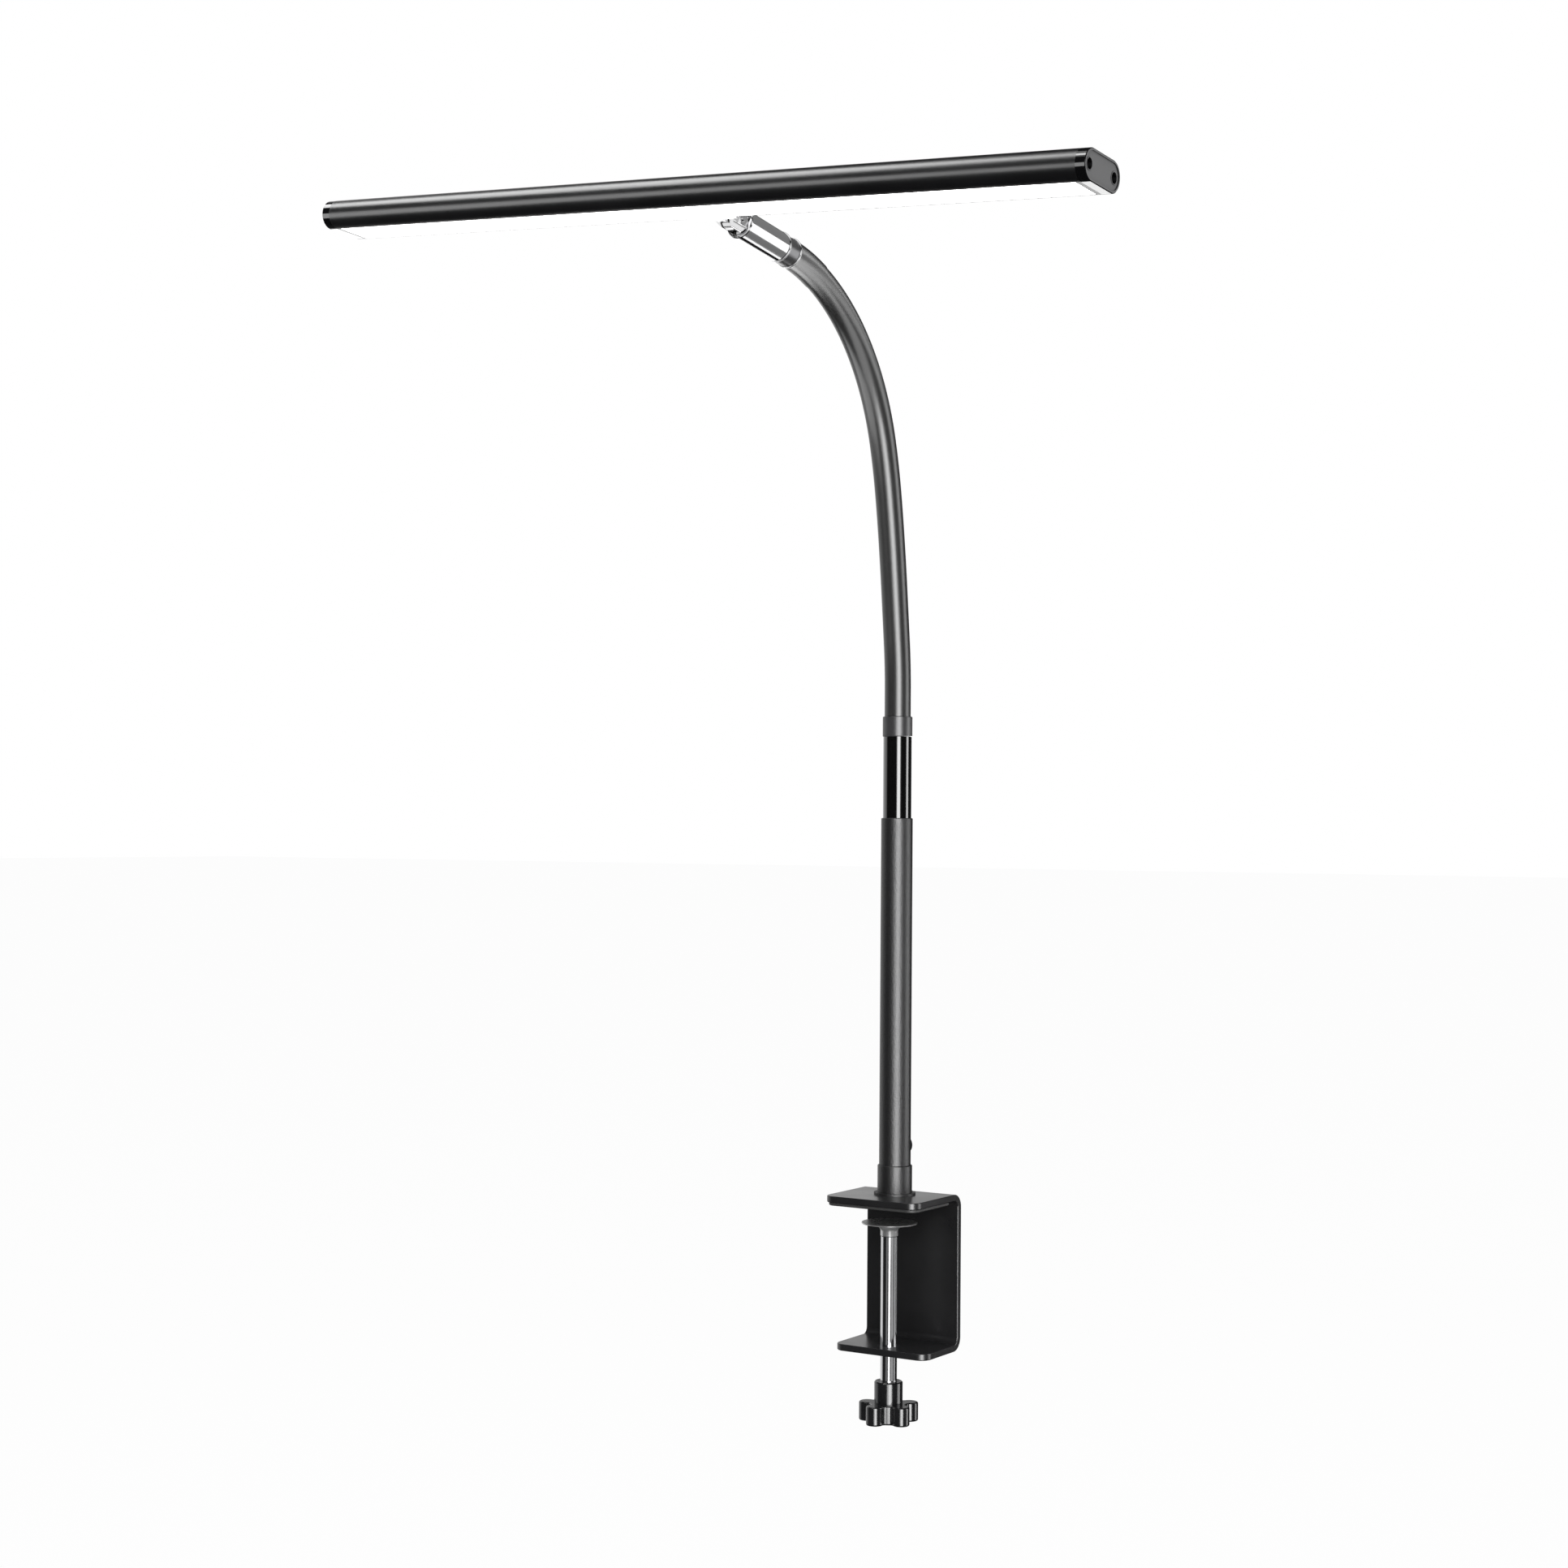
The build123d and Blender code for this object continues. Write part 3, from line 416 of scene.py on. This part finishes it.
def make_moulded(name, dark, light, roughness):
    """Small hidden pieces of moulded plastic, board or lacquer, in two close shades."""
    f = Finish(name)
    flow = f.grain(220.0, 3.0, 0.6)
    return f.surface(
        Base_Color=f.blend(flow, dark, light),
        Roughness=roughness + flow * 0.1,
        Normal=f.bump(flow, 0.00003, 0.3),
    )


def make_diffuser():
    """Lit opal diffuser: near white all over, with a faint random variation from the frosting."""
    f = Finish("opal_diffuser_lit")
    frost = f.grain(1200.0, 3.0, 0.6)
    return f.surface(
        Base_Color=f.blend(frost, (0.86, 0.86, 0.85), (0.92, 0.92, 0.91)),
        Roughness=0.35 + frost * 0.1,
        Emission_Color=f.blend(frost, (1.0, 0.985, 0.965), (1.0, 0.995, 0.985)),
        Emission_Strength=9.0,
        Normal=f.bump(frost, 0.00002, 0.3),
    )


finishes = {
    "clamp_steel": make_clamp_paint(),
    "powder_coat": make_powder_coat(),
    "black_gloss_metal": make_gloss_black("gloss_lacquer_black", 0.0025, 0.07, 0.00001),
    "black_satin_metal": make_satin_black(),
    "head_aluminium": make_bar_paint(),
    "cap_gloss": make_cap_gloss(),
    "zinc_steel": make_zinc(),
    "chrome": make_chrome(),
    "pad_rubber": make_rubber("pad_rubber_black", 0.014, 0.028, 0.6, 900.0),
    "neck_rubber": make_rubber("neck_vinyl_black", 0.010, 0.017, 0.27, 1400.0),
    "black_plastic": make_knob_plastic(),
    "bush_plastic": make_moulded("bush_plastic_ivory", (0.62, 0.60, 0.55), (0.70, 0.68, 0.62), 0.4),
    "board_white": make_moulded("board_lacquer_white", (0.72, 0.73, 0.74), (0.80, 0.81, 0.82), 0.35),
    "board_green": make_moulded("board_lacquer_green", (0.01, 0.09, 0.035), (0.015, 0.13, 0.05), 0.3),
    "led_yellow": make_moulded("phosphor_yellow", (0.75, 0.6, 0.12), (0.82, 0.68, 0.18), 0.45),
    "wire_red": make_moulded("wire_sleeve_red", (0.42, 0.02, 0.02), (0.52, 0.03, 0.03), 0.4),
    "diffuser_white": make_diffuser(),
}
finishes["joint_polish"] = make_joint_polish()
finishes["ferrule_satin"] = make_ferrule_satin()
finishes["disc_steel"] = make_disc_steel()

for node in nodes.values():
    record_slot = node.data.materials[0].name.split(".")[0]
    node.data.materials[0] = finishes[record_slot]
for name in ("joint_cylinder", "joint_fork", "head_saddle", "pivot_screw", "pivot_nut"):
    nodes[name].data.materials[0] = finishes["joint_polish"]
nodes["ferrule_band"].data.materials[0] = finishes["ferrule_satin"]
for name in ("base_collar", "foot_ring"):
    nodes[name].data.materials[0] = finishes["powder_coat"]


# ---------------------------------------------------------------- making pieces
sharp_angle = 35
round_segments = 72


def finish_piece(mesh, name, finish, place):
    """Turns a bmesh in millimetres into an object in metres, with its place in its mesh."""
    bmesh.ops.remove_doubles(mesh, verts=mesh.verts[:], dist=0.0005)
    bmesh.ops.recalc_face_normals(mesh, faces=mesh.faces[:])
    mesh.transform(place)
    mesh.transform(Matrix.Scale(MM, 4))
    data = bpy.data.meshes.new(name)
    mesh.to_mesh(data)
    mesh.free()
    data.materials.append(finishes[finish])
    data.shade_smooth()
    data.set_sharp_from_angle(angle=radians(sharp_angle))
    piece = bpy.data.objects.new(name, data)
    bpy.context.scene.collection.objects.link(piece)
    return piece


def close_ends(mesh):
    """Fills the open ends of a tube."""
    rims = [edge for edge in mesh.edges if edge.is_boundary]
    bmesh.ops.holes_fill(mesh, edges=rims, sides=0)


def spin_round(mesh, steps):
    """Turns all the edges once round Z into a surface."""
    bmesh.ops.spin(
        mesh,
        geom=mesh.verts[:] + mesh.edges[:],
        cent=(0, 0, 0),
        axis=(0, 0, 1),
        dvec=(0, 0, 0),
        angle=2 * pi,
        steps=steps,
        use_merge=True,
        use_duplicate=False,
    )


def bent_tube(diameter, angle, leg, steps, run_in=0.0):
    """A round tube along an arc that bends by angle from +Z towards -Y. Each tangent is leg long,
    and a straight run may come before the arc."""
    mesh = bmesh.new()
    bmesh.ops.create_circle(mesh, cap_ends=False, radius=diameter / 2, segments=round_segments)
    ring = mesh.verts[:] + mesh.edges[:]
    if run_in:
        ring = bmesh.ops.extrude_edge_only(mesh, edges=mesh.edges[:])["geom"]
        ring = [part for part in ring if not isinstance(part, bmesh.types.BMFace)]
        grown = [part for part in ring if isinstance(part, bmesh.types.BMVert)]
        bmesh.ops.translate(mesh, verts=grown, vec=(0, 0, run_in))
        ring = grown + [edge for edge in mesh.edges if edge.verts[0] in grown and edge.verts[1] in grown]
    radius = leg / tan(radians(angle) / 2)
    bmesh.ops.spin(
        mesh,
        geom=ring,
        cent=(0, -radius, run_in),
        axis=(1, 0, 0),
        dvec=(0, 0, 0),
        angle=radians(angle),
        steps=steps,
        use_merge=False,
        use_duplicate=False,
    )
    close_ends(mesh)
    return mesh


def metres(place, height=0.0):
    """The point at a height on a place's Z, in metres."""
    return (place @ Vector((0, 0, height))) * MM


# ---------------------------------------------------------------- gooseneck
half_link = link_length / 2
straight = bmesh.new()
bmesh.ops.create_cone(
    straight,
    cap_ends=True,
    segments=round_segments,
    radius1=neck_diameter / 2,
    radius2=neck_diameter / 2,
    depth=half_link,
    matrix=shifted(0, 0, half_link / 2),
)
neck_foot = finish_piece(straight, "neck_foot", "neck_rubber", link_places[0])
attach(neck_foot, "stem")
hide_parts("neck_sleeve_0")

for number, bend in enumerate(rest_bends[:-1], 1):
    foot = link_places[number - 1] @ shifted(0, 0, half_link)
    arc = bent_tube(neck_diameter, bend, half_link, 14)
    piece = finish_piece(arc, f"neck_bend_piece_{number}", "neck_rubber", foot)
    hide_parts(f"neck_sleeve_{number}")
    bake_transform(piece)


# the sleeve's end is a little thicker, and runs up to the ferrule
end_tube = bent_tube(
    end_sleeve_diameter, rest_bends[-1], end_sleeve_length, 12, run_in=half_link - end_sleeve_length
)
end_foot = link_places[9] @ shifted(0, 0, half_link)
neck_top = finish_piece(end_tube, "neck_top_piece", "neck_rubber", end_foot)
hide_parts("neck_end_sleeve")
metres(link_places[9], half_link)
metres(ferrule_place)
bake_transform(neck_top)


# ---------------------------------------------------------------- clamp disc
def turned_piece(name, finish, place, profile):
    """A closed lathe-turned piece. Its (radius, height) profile starts and ends on the axis."""
    mesh = bmesh.new()
    corners = [mesh.verts.new((radius, 0, height)) for radius, height in profile]
    for first, second in zip(corners, corners[1:]):
        mesh.edges.new((first, second))
    spin_round(mesh, 96)
    return finish_piece(mesh, name, finish, place)


# a thin steel disc that flares from a short neck round the rod's tip
flare_steps = 14
flare = []
for step in range(flare_steps + 1):
    turn = radians(90) * step / flare_steps
    flare_radius = disc_diameter / 2 - disc_edge - flare_width * sin(turn)
    flare.append((flare_radius, -disc_rim - flare_depth * (1 - cos(turn))))
disc_profile = [
    (0, 0),
    (disc_diameter / 2 - disc_chamfer, 0),
    (disc_diameter / 2, -disc_chamfer),
    (disc_diameter / 2, -disc_rim + disc_edge),
    *flare,
    (disc_neck / 2, -disc_height),
    (disc_bore / 2, -disc_height),
    (disc_bore / 2, -disc_height + disc_bore_depth),
    (0, -disc_height + disc_bore_depth),
]
disc_place = shifted(0, rod_setback, -disc_gap)
disc = turned_piece("clamp_disc", "disc_steel", disc_place, disc_profile)
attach(disc, "pressure_pad")
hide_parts("pressure_cup")


# ---------------------------------------------------------------- trim rings
def trim_ring(name, finish, place, radius, bead, flatness=1.0):
    """A round bead bent into a ring about a place's Z."""
    mesh = bmesh.new()
    bmesh.ops.create_circle(
        mesh,
        cap_ends=False,
        radius=bead / 2,
        segments=16,
        matrix=shifted(radius, 0, 0) @ turned_by(90, "X"),
    )
    bmesh.ops.scale(mesh, verts=mesh.verts[:], vec=(1, 1, flatness))
    spin_round(mesh, round_segments)
    return finish_piece(mesh, name, finish, place)


bead_radius = ferrule_diameter / 2 + bead_lift
for name, height in (("low", bead_inset), ("high", ferrule_length - bead_inset)):
    seat = ferrule_place @ shifted(0, 0, height)
    bead = trim_ring(f"ferrule_bead_{name}", "joint_polish", seat, bead_radius, bead_size)
    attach(bead, "neck_end")

rim_radius = cap_recess_diameter / 2 + rim_margin
cap_face = housing_length / 2 + cap_length - cap_dish
screw_reach = bar_depth / 2 - screw_inset
for side_name, side in (("left", -1), ("right", 1)):
    for edge_name, edge in (("front", -1), ("rear", 1)):
        # the rims take the caps' finish, so where they face along the bar they carry its painted lighter
        # grey
        seat = bar_place @ shifted(side * cap_face, edge * screw_reach, 0) @ turned_by(90, "Y")
        rim_name = f"screw_rim_{side_name}_{edge_name}"
        rim = trim_ring(rim_name, "cap_gloss", seat, rim_radius, rim_size, rim_flatness)
        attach(rim, "head")


# ---------------------------------------------------------------- camera
scene = bpy.context.scene

yaw, pitch, roll = radians(32.55), radians(0.98), radians(0.40)
camera_spot = (0.7843, -1.3555, 0.2249)
forward = Vector((-sin(yaw) * cos(pitch), cos(yaw) * cos(pitch), sin(pitch)))
right = Vector((cos(yaw), sin(yaw), 0))
up = right.cross(forward)
rolled_right = cos(roll) * right + sin(roll) * up
rolled_up = -sin(roll) * right + cos(roll) * up
camera_data = bpy.data.cameras.new("camera")
camera_data.sensor_width = 36
camera_data.lens = 59.627
camera_data.clip_start = 0.05
camera = bpy.data.objects.new("camera", camera_data)
camera.matrix_world = Matrix(
    (
        (rolled_right.x, rolled_up.x, -forward.x, camera_spot[0]),
        (rolled_right.y, rolled_up.y, -forward.y, camera_spot[1]),
        (rolled_right.z, rolled_up.z, -forward.z, camera_spot[2]),
        (0, 0, 0, 1),
    )
)
scene.collection.objects.link(camera)
scene.camera = camera


# ---------------------------------------------------------------- studio
lamp_middle = (0, -0.05, 0.25)
disc_middle = (0, -0.006, -0.02)
jaw_middle = (0, 0, 0)


def softbox(name, bearing, height, distance, width, tall, brightness, aim=lamp_middle, gloss_on=None):
    """A rectangular lamp that looks at a point on the object. bearing is in degrees from the
    camera's side, positive to the camera's right, and height in degrees above the horizon.
    A lamp with gloss_on only makes highlights, and only on the objects in that collection."""
    level = Vector((-forward.x, -forward.y, 0)).normalized()
    side = Vector((right.x, right.y, 0)).normalized()
    out = (level * cos(radians(bearing)) + side * sin(radians(bearing))) * cos(radians(height))
    out = out + Vector((0, 0, sin(radians(height))))
    data = bpy.data.lights.new(name, "AREA")
    data.shape = "RECTANGLE"
    data.size = width
    data.size_y = tall
    data.energy = brightness * pi * width * tall
    lamp = bpy.data.objects.new(name, data)
    turn = out.to_track_quat("Z", "Y").to_matrix().to_4x4()
    lamp.matrix_world = shifted(*(Vector(aim) + out * distance)) @ turn
    lamp.visible_camera = False
    if gloss_on is not None:
        lamp.visible_diffuse = False
        lamp.light_linking.receiver_collection = gloss_on
    scene.collection.objects.link(lamp)


def lit_group(name, wanted):
    """A collection that a gloss lamp can be kept to, of the pieces whose name is wanted."""
    group = bpy.data.collections.new(name)
    for piece in everything:
        if wanted(piece.name):
            group.objects.link(piece)
    return group


everything = [piece for piece in scene.collection.all_objects if piece.type == "MESH"]
bar_names = ("head_housing", "end_cap_left", "end_cap_right", "cap_screws")
metal_names = ("clamp_rod", "clamp_disc")
joint_names = (
    "joint_cylinder",
    "joint_fork",
    "head_saddle",
    "pivot_screw",
    "pivot_nut",
    "ferrule_bead_low",
    "ferrule_bead_high",
    "ferrule_band",
)
fork_names = [name for name in joint_names if name not in ("joint_cylinder", "ferrule_band")]
bar_group = lit_group("bar_group", lambda name: name in bar_names or name.startswith("screw_rim"))
metal_group = lit_group("metal_group", lambda name: name in metal_names)
joint_group = lit_group("joint_group", lambda name: name in joint_names)
fork_group = lit_group("fork_group", lambda name: name in fork_names)
stem_group = lit_group("stem_group", lambda name: name == "stem_tube")
clamp_group = lit_group("clamp_group", lambda name: name == "clamp_bracket")
neck_group = lit_group("neck_group", lambda name: name.startswith("neck_"))
other_groups = (bar_group, metal_group, joint_group, stem_group)
not_black = {piece.name for group in other_groups for piece in group.objects}
black_group = lit_group("black_group", lambda name: name not in not_black)
bar_middle = bar_place.translation * MM
joint_middle = metres(swivel_place, joint_length / 2)
neck_middle = metres(link_places[7])

# soft light on everything
softbox("window_front", 10, 8, 2.4, 1.6, 2.0, 1.2)
softbox("overhead", -20, 72, 2.0, 1.8, 1.4, 1.6)
# highlights on the upright black pieces
softbox("front_wide", 8, 2, 2.2, 1.7, 2.4, 8.0, gloss_on=black_group)
softbox("front_core", 11, 2, 2.15, 0.85, 2.4, 9.0, gloss_on=black_group)
softbox("right_strip", 91, 2, 2.0, 0.95, 2.0, 4.5, gloss_on=black_group)
softbox("below_neck", 25, -56, 1.6, 2.0, 1.2, 4.0, aim=neck_middle, gloss_on=neck_group)
softbox("behind_neck_low", 138, -42, 1.3, 1.8, 1.35, 6.0, aim=neck_middle, gloss_on=neck_group)
softbox("behind_neck_high", 98, 30, 1.3, 1.1, 0.8, 5.0, aim=neck_middle, gloss_on=neck_group)
softbox("left_of_neck", -80, -38, 1.3, 1.6, 0.9, 4.5, aim=neck_middle, gloss_on=neck_group)
softbox("neck_edge", -177, -16, 1.5, 0.8, 0.7, 0.35, aim=neck_middle, gloss_on=neck_group)
# on the glossy stem
softbox("stem_front", 10, 2, 2.2, 0.95, 2.4, 8.5, gloss_on=stem_group)
softbox("stem_side", 88, 2, 2.0, 0.75, 2.0, 4.8, gloss_on=stem_group)
# on the chromed rod and disc
softbox("rod_front", 3, 0, 2.2, 1.0, 2.4, 2.0, gloss_on=metal_group)
softbox("rod_side", 46, 0, 2.0, 1.2, 2.4, 0.5, gloss_on=metal_group)
softbox("rod_right", 86, 0, 2.0, 0.6, 2.4, 0.75, gloss_on=metal_group)
softbox("rod_left", -34, 0, 2.0, 0.7, 2.4, 0.25, gloss_on=metal_group)
softbox("disc_below", 20, -45, 1.2, 1.4, 0.5, 0.6, aim=disc_middle, gloss_on=metal_group)
softbox("jaw_top", 172, 11, 1.5, 1.2, 0.4, 0.5, aim=jaw_middle, gloss_on=clamp_group)
# on the swivel joint
softbox("joint_side", 111, -11, 1.5, 0.85, 0.95, 1.5, aim=joint_middle, gloss_on=joint_group)
softbox("joint_below", 157, -46, 1.5, 0.4, 0.25, 1.5, aim=joint_middle, gloss_on=joint_group)
softbox("joint_edge", -176, -16, 1.5, 0.5, 0.7, 1.1, aim=joint_middle, gloss_on=joint_group)
softbox("joint_fill", 122, 0, 1.8, 3.4, 4.4, 0.22, aim=joint_middle, gloss_on=joint_group)
softbox("fork_front", 10, -10, 1.2, 2.6, 2.2, 0.9, aim=joint_middle, gloss_on=fork_group)
softbox("fork_left", -95, -20, 1.2, 2.4, 1.8, 1.1, aim=joint_middle, gloss_on=fork_group)
softbox("fork_behind", 165, -20, 1.2, 2.2, 1.8, 0.9, aim=joint_middle, gloss_on=fork_group)
# along the light bar
softbox("bar_top", -96, 52, 3.0, 1.8, 1.5, 10.5, aim=bar_middle, gloss_on=bar_group)
softbox("bar_side", -68, -5, 1.2, 1.3, 0.5, 5.0, aim=bar_middle, gloss_on=bar_group)
softbox("bar_below", 180, -14, 1.2, 0.9, 0.3, 3.0, aim=bar_middle, gloss_on=bar_group)

world = bpy.data.worlds.new("studio")
scene.world = world
world.use_nodes = True
room = Finish.__new__(Finish)
room.tree = world.node_tree
room.tree.nodes.clear()
facing = room.node("ShaderNodeTexCoord", output="Generated")
# the gloss rays see a bright wall round this direction, and a dark room elsewhere
wall_direction = (-0.954, 0.300, 0.0)
wall = room.node(
    "ShaderNodeVectorMath",
    {"operation": "DOT_PRODUCT"},
    {0: facing, 1: wall_direction},
    output="Value",
)
wall = room.node(
    "ShaderNodeMapRange",
    {"interpolation_type": "SMOOTHSTEP"},
    {"Value": wall, "From Min": 0.62, "From Max": 0.84, "To Min": 0.02, "To Max": 1.0},
)
level_band = room.node("ShaderNodeSeparateXYZ", inputs={0: facing}, output="Z")
level_band = room.node(
    "ShaderNodeMapRange",
    {"interpolation_type": "SMOOTHSTEP"},
    {"Value": level_band, "From Min": -0.5, "From Max": -0.25, "To Min": 0.05, "To Max": 1.0},
)
wall = wall * level_band
in_gloss = room.node("ShaderNodeBackground", inputs={"Color": grey(1.0), "Strength": wall})
ambient = room.node("ShaderNodeBackground", inputs={"Color": grey(1.0), "Strength": 0.75})
backing = room.node("ShaderNodeBackground", inputs={"Color": grey(1.0), "Strength": 1.0})
glossy = room.node("ShaderNodeLightPath", output="Is Glossy Ray")
viewed = room.node("ShaderNodeLightPath", output="Is Camera Ray")
lit = room.node("ShaderNodeMixShader", inputs={0: glossy, 1: ambient, 2: in_gloss})
room.node(
    "ShaderNodeOutputWorld",
    inputs={"Surface": room.node("ShaderNodeMixShader", inputs={0: viewed, 1: lit, 2: backing})},
)

floor_glow = 0.93
floor_size = 30.0
floor_level = -0.30
floor_finish = Finish("floor_pale")
cloud = floor_finish.grain(3.0, 2.0, 0.5)
matte = floor_finish.node(
    "ShaderNodeBsdfDiffuse",
    inputs={"Color": floor_finish.blend(cloud, (0.86, 0.86, 0.86), (0.88, 0.88, 0.88))},
)
glow = floor_finish.node("ShaderNodeEmission", inputs={"Color": grey(1.0), "Strength": 1.0})
seen = floor_finish.node("ShaderNodeLightPath", output="Is Camera Ray")
floor_mix = floor_finish.node("ShaderNodeMixShader", inputs={0: seen * floor_glow, 1: matte, 2: glow})
floor_finish.node("ShaderNodeOutputMaterial", inputs={"Surface": floor_mix})
floor_mesh = bmesh.new()
bmesh.ops.create_grid(floor_mesh, x_segments=1, y_segments=1, size=floor_size)
floor_mesh.transform(shifted(0, 0, floor_level))
floor_data = bpy.data.meshes.new("floor")
floor_mesh.to_mesh(floor_data)
floor_mesh.free()
floor_data.materials.append(floor_finish.material)
floor = bpy.data.objects.new("floor", floor_data)
scene.collection.objects.link(floor)
floor.visible_glossy = False

scene.view_settings.view_transform = "Standard"
